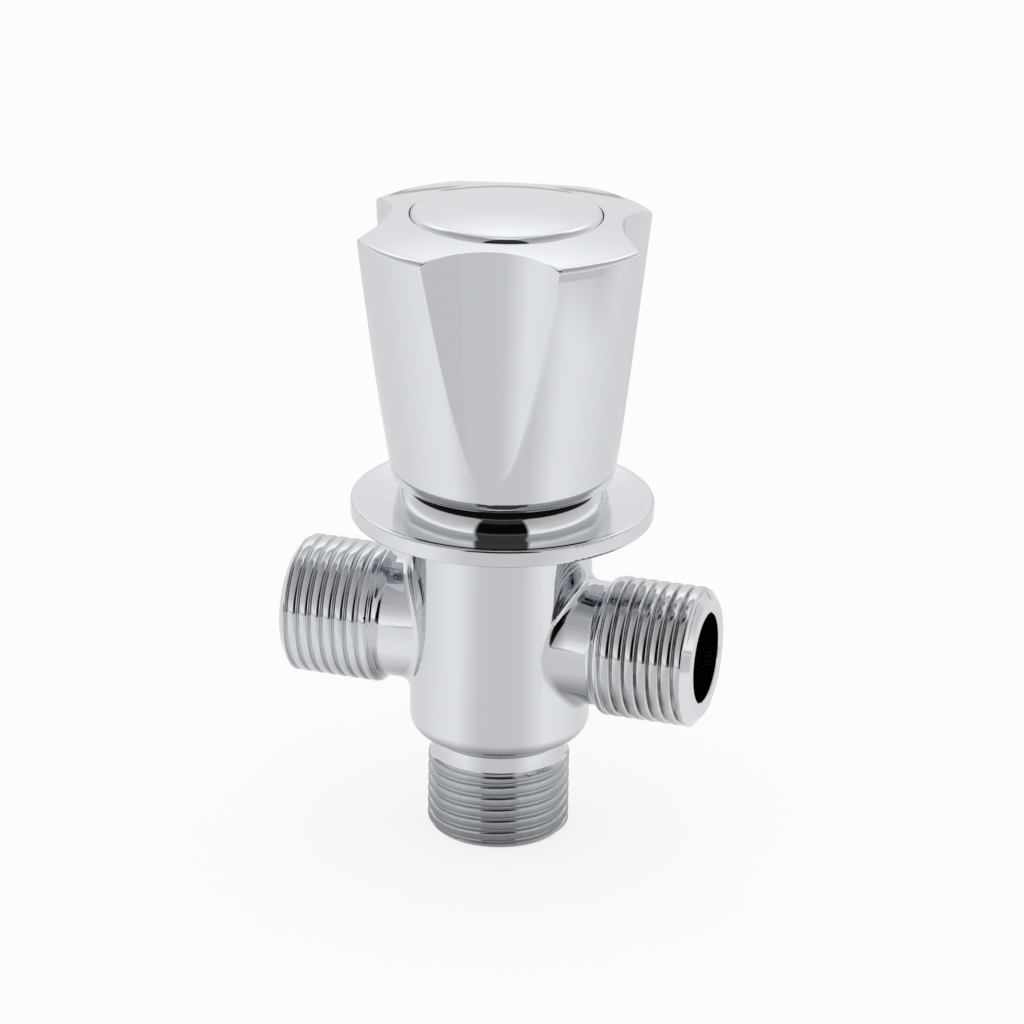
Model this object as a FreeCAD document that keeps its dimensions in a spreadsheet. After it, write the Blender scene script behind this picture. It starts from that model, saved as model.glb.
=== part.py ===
"""A three-way stopcock with a fluted handle, modelled as its separate pieces, in millimetres.

The frame: +Z runs up along the spindle, the origin is the middle of the foot's end face, and the
two outlets lie along +X and -X. The water comes in at the foot, goes up through the pair of
ceramic discs and leaves through the windows of the bonnet to both outlets.
"""
import FreeCAD, Part
import math
import os

import Sketcher

os.makedirs("parts", exist_ok=True)

doc = FreeCAD.newDocument("stopcock")

# The driving dimensions. Each has its own cell, with its name as the alias of the cell.
SIZES = {
    # valve body, one brass casting
    "inlet_thread_diameter": 20.7,
    "inlet_thread_length": 12.2,
    "inlet_neck_diameter": 19.5,
    "inlet_undercut_depth": 0.35,
    "inlet_undercut_width": 0.9,
    "outlet_thread_diameter": 20.3,
    "outlet_neck_diameter": 18.0,
    "outlet_neck_length": 3.7,
    "outlet_reach": 31.15,
    "outlet_height": 30.6,
    "port_bore_diameter": 13.1,
    "inlet_lead_chamfer": 0.9,
    "outlet_lead_drop": 1.5,
    "outlet_lead_length": 1.1,
    "barrel_diameter": 26.26,
    "barrel_base": 15.1,
    "barrel_height": 33.7,
    "barrel_corner_radius": 2.8,
    "outlet_cove_radius": 1.6,
    "chamber_diameter": 19.2,
    "seat_height": 20.5,
    "seat_wall": 3.4,
    "seat_bore_diameter": 9.6,
    # cover flange and its gasket
    "flange_diameter": 43.7,
    "flange_rim_height": 2.54,
    "flange_dish_depth": 1.15,
    "flange_lip_width": 0.5,
    "flange_edge_radius": 0.4,
    "gasket_outer_diameter": 24.6,
    "gasket_thickness": 0.8,
    # domed collar over the bonnet's hexagon
    "collar_diameter": 30.8,
    "collar_round_radius": 4.7,
    "collar_wall": 1.5,
    # bonnet
    "bonnet_skirt_wall": 1.75,
    "bonnet_thread_length": 9.0,
    "bonnet_skirt_gap": 0.5,
    "bonnet_shoulder_height": 19.3,
    "bonnet_across_flats": 21.0,
    "bonnet_hexagon_height": 2.6,
    "bonnet_neck_diameter": 16.0,
    "bonnet_neck_height": 2.2,
    "bonnet_land_height": 2.4,
    "window_width": 9.0,
    "window_height": 6.4,
    "stop_crown_height": 1.7,
    "stop_crown_width": 1.9,
    "stop_opening_angle": 145,
    "stop_tab_angle": 51,
    # ceramic discs and the seat seal
    "seat_seal_thickness": 2.4,
    "seat_seal_diameter": 14.6,
    "seat_seal_lip": 0.3,
    "support_ring_wall": 0.5,
    "disc_diameter": 14.4,
    "fixed_disc_thickness": 3.2,
    "moving_disc_thickness": 3.6,
    "disc_port_radius": 4.6,
    "disc_port_hub": 1.1,
    "disc_port_angle": 80,
    "disc_lug_width": 3.0,
    "disc_lug_reach": 1.2,
    "drive_slot_depth": 1.6,
    # spindle
    "tang_thickness": 4.0,
    "tang_width": 12.6,
    "spindle_collar_height": 2.4,
    "thrust_washer_thickness": 0.8,
    "spindle_diameter": 10.0,
    "ring_section": 1.28,
    "ring_groove_width": 1.9,
    "lower_ring_rise": 4.0,
    "ring_pitch": 4.2,
    "spline_tip_diameter": 8.0,
    "spline_root_diameter": 7.1,
    "spline_teeth": 20,
    "spline_root_overlap": 0.35,
    "spline_length": 12.0,
    "tapped_hole_spare": 0.9,
    "clip_thickness": 0.8,
    "clip_width": 1.7,
    "clip_groove_depth": 0.5,
    "clip_opening_angle": 70,
    "stop_ring_thickness": 1.3,
    "stop_ring_diameter": 11.4,
    # handle
    "handle_overlap": 0.45,
    "handle_height": 37.8,
    "handle_foot_diameter": 32.2,
    "handle_rim_diameter": 44.0,
    "handle_foot_radius": 1.2,
    "handle_rim_radius": 0.8,
    "handle_crown_radius": 110.0,
    "handle_bore_diameter": 27.4,
    "handle_crown_wall": 3.2,
    "handle_deck_thickness": 4.0,
    "handle_well_diameter": 12.0,
    "handle_well_wall": 1.9,
    "handle_boss_wall": 2.2,
    "handle_index_angle": 12.2,
    "flute_count": 4,
    "flute_top_radius": 15.3,
    "flute_top_depth": 5.6,
    "flute_foot_radius": 10.0,
    "flute_foot_depth": 0.1,
    "flute_overrun": 8.0,
    "cap_diameter": 27.4,
    "cap_edge_height": 1.9,
    "cap_edge_radius": 1.3,
    "cap_proud_height": 0.95,
    "cap_crown_height": 1.3,
    "cap_plug_length": 4.0,
    "cap_plug_wall": 1.1,
    "insert_wall": 1.6,
    "screw_diameter": 4.0,
    "screw_length": 18.0,
    "screw_point_length": 1.0,
    "screw_point_drop": 0.6,
    "screw_head_diameter": 7.4,
    "screw_head_height": 2.6,
    "screw_recess_width": 1.1,
    "screw_recess_length": 4.4,
    "screw_recess_depth": 1.5,
    "spring_washer_thickness": 1.0,
    "spring_washer_split": 0.4,
    # clearances
    "thread_clearance": 0.06,
    "skirt_clearance": 0.3,
    "running_clearance": 0.05,
    "seal_clearance": 0.04,
    "disc_film": 0.02,
    "drop_clearance": 0.3,
    "slot_clearance": 0.1,
    "spindle_collar_clearance": 0.2,
    "thrust_washer_clearance": 0.3,
    "screw_clearance": 0.2,
    # how far a cutting outline runs past the piece that it cuts
    "cut_overrun": 1.0,
}

sheet = doc.addObject("Spreadsheet::Sheet", "Sizes")
for row, (alias, value) in enumerate(SIZES.items(), start=1):
    sheet.set(f"A{row}", alias)
    sheet.set(f"B{row}", str(value))
    sheet.setAlias(f"B{row}", alias)
doc.recompute()


class Size:
    """A length that knows both its present value and the expression that gives it."""

    def __init__(self, value, text):
        self.value = value
        self.text = text

    @staticmethod
    def of(number):
        return number if isinstance(number, Size) else Size(float(number), str(number))

    def __add__(self, other):
        other = Size.of(other)
        return Size(self.value + other.value, f"({self.text} + {other.text})")

    def __sub__(self, other):
        other = Size.of(other)
        return Size(self.value - other.value, f"({self.text} - {other.text})")

    def __mul__(self, other):
        other = Size.of(other)
        return Size(self.value * other.value, f"({self.text} * {other.text})")

    def __truediv__(self, other):
        other = Size.of(other)
        return Size(self.value / other.value, f"({self.text} / {other.text})")

    def __neg__(self):
        return Size(-self.value, f"(-{self.text})")

    def root(self):
        return Size(math.sqrt(self.value), f"sqrt({self.text})")

    def within(self, limit):
        return Size(min(self.value, limit.value), f"min({self.text}; {limit.text})")


def size(alias):
    return Size(float(sheet.get(alias)), f"Sizes.{alias}")


def half(alias):
    return size(alias) / 2


ZERO = Size(0.0, "0")
NEAR_ZERO = 1e-9
SURFACE_TOLERANCE = 0.01
EDGE_SAMPLES = 7
HEXAGON_SIDES = 6
DISC_PORTS = 2
RECESS_ARMS = 4
TOOTH_TIP_SHARE = 1 / 3
WALL_SHARE_OF_A_ROUND = 0.6

# Angles about the axis, in degrees from +X, in the closed position that the model shows.
# The handle opens the valve by TRAVEL, anticlockwise seen from above.
TRAVEL = 90
FIXED_PORT_MIDDLE = 0.0
STOP_OPENING_MIDDLE = 90.0
TAB_MIDDLE = STOP_OPENING_MIDDLE - TRAVEL / 2
CLIP_MIDDLE = 180.0


def origin_item(body, role):
    return next(item for item in body.Origin.OriginFeatures if item.Role == role)


def new_body(label, lift=None):
    """A body of its own, raised by lift from the foot's end face."""
    body = doc.addObject("PartDesign::Body", label)
    body.Label = label
    if lift is not None:
        body.setExpression("Placement.Base.z", lift.text)
    return body


def new_sketch(body, name, role="XZ_Plane", lift=None):
    sketch = body.newObject("Sketcher::SketchObject", name)
    sketch.AttachmentSupport = [(origin_item(body, role), "")]
    sketch.MapMode = "FlatFace"
    if lift is not None:
        sketch.setExpression("AttachmentOffset.Base.z", lift.text)
    return sketch


def hold(sketch, kind, geo, pos, length):
    """Holds one coordinate of a point, measured from the sketch's own origin."""
    axis = -2 if kind == "DistanceX" else -1
    if abs(length.value) < NEAR_ZERO:
        sketch.addConstraint(Sketcher.Constraint("PointOnObject", geo, pos, axis))
        return
    if length.value > 0:
        index = sketch.addConstraint(Sketcher.Constraint(kind, -1, 1, geo, pos, length.value))
        text = length.text
    else:
        index = sketch.addConstraint(Sketcher.Constraint(kind, geo, pos, -1, 1, -length.value))
        text = (-length).text
    sketch.setExpression(f"Constraints[{index}]", text)


def outline(sketch, points):
    """Draws a closed outline. A point is (across, up), or (across, up, bend) where an arc leads to
    it from the point before, with a radius of bend: above zero it turns left, below zero right."""
    places = [FreeCAD.Vector(p[0].value, p[1].value, 0) for p in points]
    up = FreeCAD.Vector(0, 0, 1)
    ends = []
    for index, point in enumerate(points):
        before = places[index - 1]
        here = places[index]
        if len(point) < 3:
            geo = sketch.addGeometry(Part.LineSegment(before, here))
            ends.append((geo, 1, 2))
            continue
        bend = point[2]
        radius = abs(bend.value)
        chord = here - before
        rise = math.sqrt(max(radius**2 - (chord.Length / 2) ** 2, 0.0))
        side = up.cross(chord).normalize()
        turn = 1 if bend.value > 0 else -1
        centre = (before + here) / 2 + side * rise * turn
        first, last = (before, here) if turn > 0 else (here, before)
        start = math.atan2(first.y - centre.y, first.x - centre.x)
        stop = math.atan2(last.y - centre.y, last.x - centre.x)
        if stop < start:
            stop += 2 * math.pi
        geo = sketch.addGeometry(Part.ArcOfCircle(Part.Circle(centre, up, radius), start, stop))
        ends.append((geo, 1, 2) if turn > 0 else (geo, 2, 1))
        index_held = sketch.addConstraint(Sketcher.Constraint("Radius", geo, radius))
        sketch.setExpression(f"Constraints[{index_held}]", (bend if turn > 0 else -bend).text)
    for index, (geo, start, stop) in enumerate(ends):
        following = ends[(index + 1) % len(ends)]
        sketch.addConstraint(Sketcher.Constraint("Coincident", geo, stop, following[0], following[1]))
        hold(sketch, "DistanceX", geo, stop, points[index][0])
        hold(sketch, "DistanceY", geo, stop, points[index][1])


def circle(sketch, across, along, radius):
    centre = FreeCAD.Vector(across.value, along.value, 0)
    geo = sketch.addGeometry(Part.Circle(centre, FreeCAD.Vector(0, 0, 1), radius.value))
    hold(sketch, "DistanceX", geo, 3, across)
    hold(sketch, "DistanceY", geo, 3, along)
    index = sketch.addConstraint(Sketcher.Constraint("Radius", geo, radius.value))
    sketch.setExpression(f"Constraints[{index}]", radius.text)


def rectangle(sketch, left, right, low, high):
    outline(sketch, [(right, low), (right, high), (left, high), (left, low)])


def hold_axis(sketch, start, stop):
    """Draws the construction line that an outline is turned about, from one point to another."""
    ends = [FreeCAD.Vector(across.value, up.value, 0) for across, up in (start, stop)]
    geo = sketch.addGeometry(Part.LineSegment(*ends), True)
    for pos, (across, up) in enumerate((start, stop), start=1):
        hold(sketch, "DistanceX", geo, pos, across)
        hold(sketch, "DistanceY", geo, pos, up)


def turn(body, name, points, kind="Revolution"):
    """Turns an outline about the body's own upright axis."""
    sketch = new_sketch(body, name + "_outline")
    outline(sketch, points)
    form = body.newObject("PartDesign::" + kind, name)
    form.Profile = sketch
    form.ReferenceAxis = (sketch, ["V_Axis"])
    form.Angle = 360
    return form


def pad(body, name, sketch, length):
    form = body.newObject("PartDesign::Pad", name)
    form.Profile = sketch
    form.setExpression("Length", length.text)
    return form


def pocket(body, name, sketch, length, both_ways=False, upwards=False):
    form = body.newObject("PartDesign::Pocket", name)
    form.Profile = sketch
    form.setExpression("Length", length.text)
    form.Midplane = both_ways
    form.Reversed = upwards
    return form


def around(body, name, form, count):
    """Repeats a feature evenly about the body's own upright axis."""
    pattern = body.newObject("PartDesign::PolarPattern", name)
    pattern.Originals = [form]
    pattern.Axis = (origin_item(body, "Z_Axis"), [""])
    pattern.Angle = 360
    if isinstance(count, Size):
        pattern.setExpression("Occurrences", count.text)
    else:
        pattern.Occurrences = count
    body.Tip = pattern
    return pattern


def cosine_of(angle):
    return Size(math.cos(math.radians(angle.value)), f"cos({angle.text} * 1 deg)")


def sine_of(angle):
    return Size(math.sin(math.radians(angle.value)), f"sin({angle.text} * 1 deg)")


def sector(sketch, inner, outer, span, middle_angle=0.0):
    """A ring's sector, span degrees wide (a Size), centred on middle_angle."""
    half_span = span / 2
    corners = []
    for radius, sign in ((inner, -1), (outer, -1), (outer, 1), (inner, 1)):
        angle = half_span * sign + middle_angle
        corners.append((radius, angle))
    points = []
    for index, (radius, angle) in enumerate(corners):
        place = (radius * cosine_of(angle), radius * sine_of(angle))
        if index == 2:
            place += (outer,)
        if index == 0:
            place += (-inner,)
        points.append(place)
    outline(sketch, points)


# Levels along the axis, worked out from the sizes above
barrel_top = size("barrel_base") + size("barrel_height")
flange_top = barrel_top + size("flange_rim_height")
flange_floor = flange_top - size("flange_dish_depth")
seal_top = size("seat_height") + size("seat_seal_thickness")
fixed_disc_top = seal_top + size("fixed_disc_thickness")
moving_disc_base = fixed_disc_top + size("disc_film")
moving_disc_top = moving_disc_base + size("moving_disc_thickness")
tang_base = moving_disc_top - size("drive_slot_depth") + size("slot_clearance")
shoulder = size("seat_height") + size("bonnet_shoulder_height")
thrust_washer_base = shoulder - size("running_clearance") - size("thrust_washer_thickness")
spindle_collar_base = thrust_washer_base - size("spindle_collar_height")
hexagon_top = flange_floor + size("bonnet_hexagon_height")
neck_top = hexagon_top + size("bonnet_neck_height")
stop_ring_base = neck_top + size("drop_clearance")
clip_base = stop_ring_base + size("stop_ring_thickness") + size("slot_clearance")
spline_base = clip_base + size("clip_thickness") + size("slot_clearance")
spindle_top = spline_base + size("spline_length")
collar_top = flange_floor + size("collar_round_radius")
handle_base = collar_top - size("handle_overlap")
insert_base = spline_base + size("drop_clearance")
deck_base = spindle_top + size("drop_clearance")
deck_top = deck_base + size("handle_deck_thickness")
washer_top = deck_top + size("spring_washer_thickness")
screw_tip = washer_top - size("screw_length")

# Radii that several pieces share
bonnet_radius = half("chamber_diameter") - size("thread_clearance")
skirt_radius = half("chamber_diameter") - size("skirt_clearance")
skirt_bore = skirt_radius - size("bonnet_skirt_wall")
spindle_bore = half("spindle_diameter") + size("running_clearance")
spline_tip = half("spline_tip_diameter")
spline_root = half("spline_root_diameter")
insert_radius = spline_tip + size("insert_wall")
ring_radius = size("ring_section") / 2


def edges_between(shape, is_on_first, is_on_second):
    """Names of the edges whose points all lie on both of two surfaces."""
    names = []
    for number, edge in enumerate(shape.Edges, start=1):
        samples = edge.discretize(EDGE_SAMPLES)
        if all(is_on_first(point) and is_on_second(point) for point in samples):
            names.append(f"Edge{number}")
    return names


def make_valve_body():
    """One casting: an upright barrel, a threaded foot and two threaded outlets in one line."""
    body = new_body("valve_body")
    chamfer = size("inlet_lead_chamfer")
    thread = half("inlet_thread_diameter")
    neck = half("inlet_neck_diameter")
    barrel = half("barrel_diameter")
    corner = size("barrel_corner_radius")
    waist = neck - size("inlet_undercut_depth")
    undercut_base = size("barrel_base") - size("inlet_undercut_width")
    turn(
        body,
        "barrel",
        [
            (ZERO, ZERO),
            (thread - chamfer, ZERO),
            (thread, chamfer),
            (thread, size("inlet_thread_length")),
            (neck, size("inlet_thread_length") + (thread - neck)),
            (neck, undercut_base),
            (waist, undercut_base + size("inlet_undercut_depth")),
            (waist, size("barrel_base")),
            (barrel - corner, size("barrel_base")),
            (barrel, size("barrel_base") + corner, corner),
            (barrel, barrel_top),
            (ZERO, barrel_top),
        ],
    )
    axis = size("outlet_height")
    outlet = half("outlet_thread_diameter")
    outlet_neck = half("outlet_neck_diameter")
    reach = size("outlet_reach")
    thread_start = barrel + size("outlet_neck_length")
    sketch = new_sketch(body, "outlet_outline")
    outline(
        sketch,
        [
            (ZERO, axis),
            (reach, axis),
            (reach, axis + outlet - size("outlet_lead_drop")),
            (reach - size("outlet_lead_length"), axis + outlet),
            (thread_start, axis + outlet),
            (thread_start - (outlet - outlet_neck), axis + outlet_neck),
            (ZERO, axis + outlet_neck),
        ],
    )
    hold_axis(sketch, (ZERO, axis), (reach, axis))
    spigot = body.newObject("PartDesign::Revolution", "outlet")
    spigot.Profile = sketch
    spigot.ReferenceAxis = (sketch, ["Axis0"])
    spigot.Angle = 360
    both = body.newObject("PartDesign::Mirrored", "both_outlets")
    both.Originals = [spigot]
    both.MirrorPlane = (origin_item(body, "YZ_Plane"), [""])
    body.Tip = both
    doc.recompute()
    names = edges_between(
        both.Shape,
        lambda p: abs(math.hypot(p.x, p.y) - barrel.value) < SURFACE_TOLERANCE,
        lambda p: abs(math.hypot(p.y, p.z - axis.value) - outlet_neck.value) < SURFACE_TOLERANCE,
    )
    cove = body.newObject("PartDesign::Fillet", "outlet_coves")
    cove.Base = (both, names)
    cove.setExpression("Radius", size("outlet_cove_radius").text)
    chamber = half("chamber_diameter")
    bore = half("port_bore_diameter")
    turn(
        body,
        "chamber_and_inlet",
        [
            (ZERO, ZERO),
            (bore, ZERO),
            (bore, size("seat_height") - size("seat_wall")),
            (half("seat_bore_diameter"), size("seat_height") - size("seat_wall")),
            (half("seat_bore_diameter"), size("seat_height")),
            (chamber, size("seat_height")),
            (chamber, barrel_top),
            (ZERO, barrel_top),
        ],
        kind="Groove",
    )
    bore_sketch = new_sketch(body, "outlet_bore_outline", "YZ_Plane")
    circle(bore_sketch, ZERO, axis, bore)
    pocket(body, "outlet_bores", bore_sketch, reach * 2, both_ways=True)
    return body


def make_cover_flange():
    """A turned disc with a dished top, a flat land in its middle and a recess for its gasket."""
    body = new_body("cover_flange", barrel_top)
    radius = half("flange_diameter")
    height = size("flange_rim_height")
    floor = height - size("flange_dish_depth")
    edge = size("flange_edge_radius")
    land = half("collar_diameter")
    bore = half("chamber_diameter")
    gasket = half("gasket_outer_diameter") + size("slot_clearance")
    turn(
        body,
        "disc",
        [
            (gasket, ZERO),
            (radius - edge, ZERO),
            (radius, edge, edge),
            (radius, height - edge),
            (radius - edge, height, edge),
            (radius - edge - size("flange_lip_width"), height),
            (land, floor),
            (bore, floor),
            (bore, size("gasket_thickness")),
            (gasket, size("gasket_thickness")),
        ],
    )
    return body


def make_flange_gasket():
    """The flat fibre ring between the barrel's end and the cover flange."""
    body = new_body("flange_gasket", barrel_top)
    inner = half("chamber_diameter") + size("slot_clearance")
    outer = half("gasket_outer_diameter")
    turn(
        body,
        "ring",
        [
            (outer, ZERO),
            (outer, size("gasket_thickness")),
            (inner, size("gasket_thickness")),
            (inner, ZERO),
        ],
    )
    return body


def make_bonnet_collar():
    """The domed ring that hides the bonnet's hexagon and stands on the flange's land."""
    body = new_body("bonnet_collar", flange_floor)
    outer = half("collar_diameter")
    rounding = size("collar_round_radius")
    wall = size("collar_wall")
    bore = half("bonnet_neck_diameter") + size("thread_clearance")
    turn(
        body,
        "dome",
        [
            (outer, ZERO),
            (outer - rounding, rounding, rounding),
            (bore, rounding),
            (bore, rounding - wall),
            (outer - rounding, rounding - wall),
            (outer - wall, ZERO, -(rounding - wall)),
        ],
    )
    return body


def make_bonnet():
    """The brass headwork body: skirt with windows, thread, hexagon, neck and stop crown."""
    body = new_body("cartridge_bonnet", size("seat_height"))
    base = size("seat_height")
    skirt_base = size("bonnet_skirt_gap")
    thread_top = flange_floor - base
    thread_base = thread_top - size("bonnet_thread_length")
    groove_top = thread_base - size("thread_clearance")
    groove_base = groove_top - size("ring_groove_width")
    groove = bonnet_radius - size("ring_section")
    neck = half("bonnet_neck_diameter")
    inner_shoulder = size("bonnet_shoulder_height")
    turn(
        body,
        "shell",
        [
            (skirt_bore, skirt_base),
            (skirt_radius, skirt_base),
            (skirt_radius, groove_base - size("bonnet_land_height")),
            (bonnet_radius, groove_base - size("bonnet_land_height")),
            (bonnet_radius, groove_base),
            (groove, groove_base),
            (groove, groove_top),
            (bonnet_radius, groove_top),
            (bonnet_radius, thread_top),
            (neck, thread_top),
            (neck, neck_top - base),
            (spindle_bore, neck_top - base),
            (spindle_bore, inner_shoulder),
            (skirt_bore, inner_shoulder),
        ],
    )
    hexagon = new_sketch(body, "hexagon_outline", "XY_Plane", thread_top)
    corner = size("bonnet_across_flats") / math.sqrt(3)
    points = []
    for number in range(HEXAGON_SIDES):
        angle = 2 * math.pi * number / HEXAGON_SIDES
        points.append((corner * math.cos(angle), corner * math.sin(angle)))
    outline(hexagon, points)
    circle(hexagon, ZERO, ZERO, neck - size("thread_clearance"))
    pad(body, "hexagon", hexagon, size("bonnet_hexagon_height"))
    crown = new_sketch(body, "stop_crown_outline", "XY_Plane", neck_top - base)
    circle(crown, ZERO, ZERO, neck)
    circle(crown, ZERO, ZERO, neck - size("stop_crown_width"))
    pad(body, "stop_crown", crown, size("stop_crown_height"))
    opening = new_sketch(body, "stop_opening_outline", "XY_Plane", neck_top - base)
    past_neck = neck + size("cut_overrun")
    sector(opening, spindle_bore, past_neck, size("stop_opening_angle"), STOP_OPENING_MIDDLE)
    pocket(body, "stop_opening", opening, size("stop_crown_height"), upwards=True)
    windows = new_sketch(body, "window_outline", "YZ_Plane")
    window_base = moving_disc_top - base + size("drop_clearance")
    rectangle(
        windows,
        -half("window_width"),
        half("window_width"),
        window_base,
        window_base + size("window_height"),
    )
    across = (bonnet_radius + size("cut_overrun")) * 2
    pocket(body, "windows", windows, across, both_ways=True)
    slots = new_sketch(body, "lug_slot_outline")
    lug = half("disc_lug_width") + size("slot_clearance")
    rectangle(slots, -lug, lug, ZERO, fixed_disc_top - base)
    body.Tip = pocket(body, "lug_slots", slots, across, both_ways=True)
    return body


def make_ring(label, base, middle_radius, round_radius):
    """A rubber ring of round section, its lowest point at base."""
    body = new_body(label, base)
    sketch = new_sketch(body, "section")
    circle(sketch, middle_radius, round_radius, round_radius)
    ring = body.newObject("PartDesign::Revolution", "ring")
    ring.Profile = sketch
    ring.ReferenceAxis = (sketch, ["V_Axis"])
    ring.Angle = 360
    return body


def make_bonnet_seal():
    thread_base = flange_floor - size("bonnet_thread_length")
    groove_base = thread_base - size("thread_clearance") - size("ring_groove_width")
    slack = (size("ring_groove_width") - size("ring_section")) / 2
    outer = half("chamber_diameter") - size("seal_clearance")
    return make_ring("bonnet_seal", groove_base + slack, outer - ring_radius, ring_radius)


def make_seat_seal():
    """The rubber seat ring that presses the fixed disc up against its mate."""
    body = new_body("seat_seal", size("seat_height"))
    outer = half("seat_seal_diameter")
    inner = half("seat_bore_diameter") + size("support_ring_wall") + size("slot_clearance")
    height = size("seat_seal_thickness")
    lip = size("seat_seal_lip")
    turn(
        body,
        "seat",
        [
            (inner, ZERO),
            (outer - lip, ZERO),
            (outer, lip),
            (outer, height - lip),
            (outer - lip, height),
            (inner, height),
        ],
    )
    return body


def make_support_ring():
    """The thin plastic ring that keeps the seat seal from folding into the bore."""
    body = new_body("seal_support_ring", size("seat_height"))
    inner = half("seat_bore_diameter")
    height = size("seat_seal_thickness") - size("slot_clearance")
    turn(
        body,
        "sleeve",
        [
            (inner, ZERO),
            (inner + size("support_ring_wall"), ZERO),
            (inner + size("support_ring_wall"), height),
            (inner, height),
        ],
    )
    return body


def disc_ports(body, thickness, middle_angle):
    """Cuts the two opposite sector ports of a ceramic disc."""
    sketch = new_sketch(body, "port_outline", "XY_Plane")
    span = size("disc_port_angle")
    sector(sketch, size("disc_port_hub"), size("disc_port_radius"), span, middle_angle)
    cut = pocket(body, "port", sketch, thickness, upwards=True)
    return around(body, "ports", cut, DISC_PORTS)


def make_fixed_disc():
    """The lower ceramic disc, kept from turning by two lugs in the bonnet's skirt."""
    body = new_body("fixed_ceramic_disc", seal_top)
    radius = half("disc_diameter")
    height = size("fixed_disc_thickness")
    turn(body, "disc", [(ZERO, ZERO), (radius, ZERO), (radius, height), (ZERO, height)])
    sketch = new_sketch(body, "lug_outline", "XY_Plane")
    lug = half("disc_lug_width")
    reach = radius + size("disc_lug_reach")
    outline(
        sketch,
        [(lug, -reach), (lug, reach), (-lug, reach), (-lug, -reach)],
    )
    pad(body, "lugs", sketch, height - size("slot_clearance"))
    disc_ports(body, height, FIXED_PORT_MIDDLE)
    return body


def make_moving_disc():
    """The upper ceramic disc, with a slot across its top for the spindle's tang."""
    body = new_body("moving_ceramic_disc", moving_disc_base)
    radius = half("disc_diameter")
    height = size("moving_disc_thickness")
    turn(body, "disc", [(ZERO, ZERO), (radius, ZERO), (radius, height), (ZERO, height)])
    slot = new_sketch(body, "slot_outline", "XY_Plane", height)
    wide = half("tang_thickness") + size("slot_clearance")
    past_edge = radius + size("cut_overrun")
    rectangle(slot, -past_edge, past_edge, -wide, wide)
    pocket(body, "drive_slot", slot, size("drive_slot_depth"))
    disc_ports(body, height, FIXED_PORT_MIDDLE + TRAVEL)
    return body


def make_spindle():
    """The brass spindle: tang, collar, two ring grooves, clip groove, spline and tapped hole."""
    body = new_body("spindle", tang_base)
    base = tang_base
    collar_base = spindle_collar_base - base
    collar_radius = skirt_bore - size("spindle_collar_clearance")
    shaft = half("spindle_diameter")
    groove = shaft - size("ring_section")
    lower = shoulder + size("lower_ring_rise") - base
    upper = lower + size("ring_pitch")
    wide = size("ring_groove_width")
    collar_top_here = collar_base + size("spindle_collar_height")
    seat = spline_root - size("clip_groove_depth")
    turn(
        body,
        "shaft",
        [
            (ZERO, collar_base),
            (collar_radius, collar_base),
            (collar_radius, collar_top_here),
            (shaft, collar_top_here),
            (shaft, lower),
            (groove, lower),
            (groove, lower + wide),
            (shaft, lower + wide),
            (shaft, upper),
            (groove, upper),
            (groove, upper + wide),
            (shaft, upper + wide),
            (shaft, neck_top - base),
            (spline_root, neck_top - base),
            (spline_root, clip_base - base),
            (seat, clip_base - base),
            (seat, clip_base + size("clip_thickness") + size("slot_clearance") - base),
            (spline_root, clip_base + size("clip_thickness") + size("slot_clearance") - base),
            (spline_root, spindle_top - base),
            (ZERO, spindle_top - base),
        ],
    )
    web = new_sketch(body, "tang_outline", "XY_Plane")
    rectangle(
        web,
        -half("tang_width"),
        half("tang_width"),
        -half("tang_thickness"),
        half("tang_thickness"),
    )
    pad(body, "tang", web, collar_base + size("slot_clearance"))
    tooth = new_sketch(body, "tooth_outline", "XY_Plane", spline_base - base)
    outline(tooth, tooth_points(spline_root, spline_tip, ZERO))
    teeth = pad(body, "tooth", tooth, size("spline_length"))
    around(body, "teeth", teeth, size("spline_teeth"))
    hole = new_sketch(body, "tapped_hole_outline", "XY_Plane", spindle_top - base)
    circle(hole, ZERO, ZERO, half("screw_diameter") + size("thread_clearance"))
    depth = spindle_top - screw_tip + size("tapped_hole_spare")
    body.Tip = pocket(body, "tapped_hole", hole, depth)
    return body


def tooth_points(root, tip, gap):
    """One spline tooth, pointing along +X, widened all round by gap."""
    flank = root * math.pi / size("spline_teeth") + gap
    inside = root - size("spline_root_overlap")
    tip_flank = flank * TOOTH_TIP_SHARE
    return [
        (inside, -flank),
        (root, -flank),
        (tip, -tip_flank),
        (tip, tip_flank),
        (root, flank),
        (inside, flank),
    ]


def splined_bore(body, height):
    """Cuts the toothed bore of a piece that slides over the spindle's spline."""
    gap = size("running_clearance")
    sketch = new_sketch(body, "bore_outline", "XY_Plane")
    circle(sketch, ZERO, ZERO, spline_root + gap)
    pocket(body, "bore", sketch, height, upwards=True)
    tooth = new_sketch(body, "groove_outline", "XY_Plane")
    outline(tooth, tooth_points(spline_root + gap, spline_tip + gap, gap))
    cut = pocket(body, "groove", tooth, height, upwards=True)
    return around(body, "grooves", cut, size("spline_teeth"))


def make_thrust_washer():
    """The slippery washer between the spindle's collar and the bonnet's inner shoulder."""
    body = new_body("thrust_washer", thrust_washer_base)
    inner = half("spindle_diameter") + size("slot_clearance")
    outer = skirt_bore - size("thrust_washer_clearance")
    height = size("thrust_washer_thickness")
    turn(body, "ring", [(inner, ZERO), (outer, ZERO), (outer, height), (inner, height)])
    return body


def make_spindle_rings():
    """The two rubber rings that seal the spindle in the bonnet's bore."""
    middle = spindle_bore - size("seal_clearance") - ring_radius
    slack = (size("ring_groove_width") - size("ring_section")) / 2
    lower = shoulder + size("lower_ring_rise") + slack
    return [
        make_ring("spindle_ring_lower", lower, middle, ring_radius),
        make_ring("spindle_ring_upper", lower + size("ring_pitch"), middle, ring_radius),
    ]


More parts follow.
